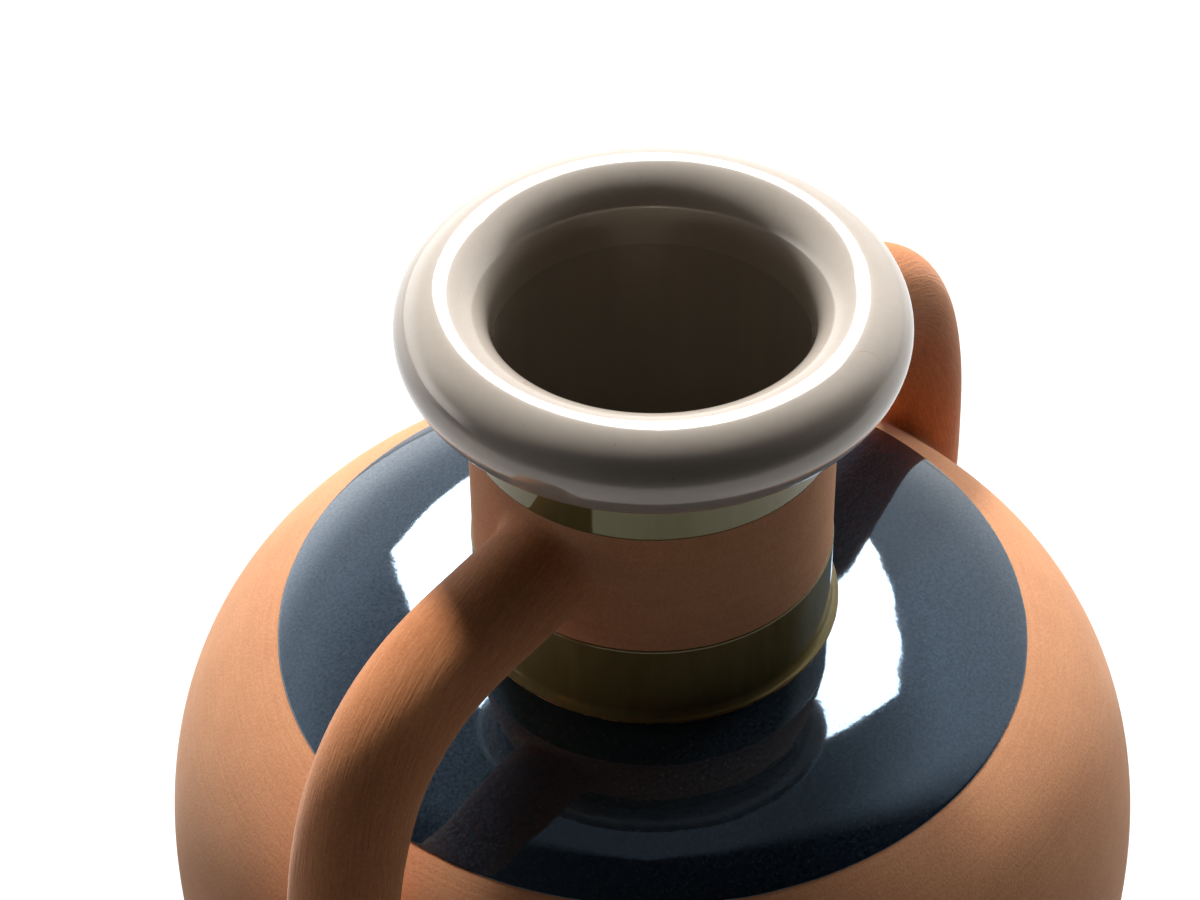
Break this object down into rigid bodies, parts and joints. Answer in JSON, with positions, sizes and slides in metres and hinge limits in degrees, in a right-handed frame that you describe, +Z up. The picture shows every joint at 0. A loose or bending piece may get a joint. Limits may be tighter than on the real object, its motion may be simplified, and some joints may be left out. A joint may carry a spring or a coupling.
{
  "type": "two-handled ceramic vase",
  "caption": "Round-bellied terracotta vase with glazed shoulder, banded neck, fat rolled rim and looped side handles; stands on a turned foot and holds stems or water.",
  "frame": {"origin": "centre of the foot ring, on the surface that the vase stands on", "axes": "+Z up along the pot's turning axis, +X through the right handle, +Y across the handles"},
  "size_m": [0.3222, 0.3, 0.3748],
  "materials": {
    "terracotta": "bare fired clay, matt, fine turning lines",
    "handle_terracotta": "bare fired clay, matt, fine strokes along the rod",
    "midnight_blue_glaze": "glossy, finely speckled",
    "olive_glaze": "glossy",
    "stone_grey_glaze": "glossy",
    "liner_glaze": "satin"
  },
  "bodies": {
    "root": {"lower_bowl": "terracotta", "shoulder_dome": "terracotta", "neck_collar": "terracotta", "rim_roll": "terracotta", "handle_left": "handle_terracotta", "handle_right": "handle_terracotta", "shoulder_glaze": "midnight_blue_glaze", "lower_neck_glaze": "olive_glaze", "upper_neck_glaze": "olive_glaze", "rim_glaze": "stone_grey_glaze", "liner_glaze": "liner_glaze"}
  },
  "joints": []
}
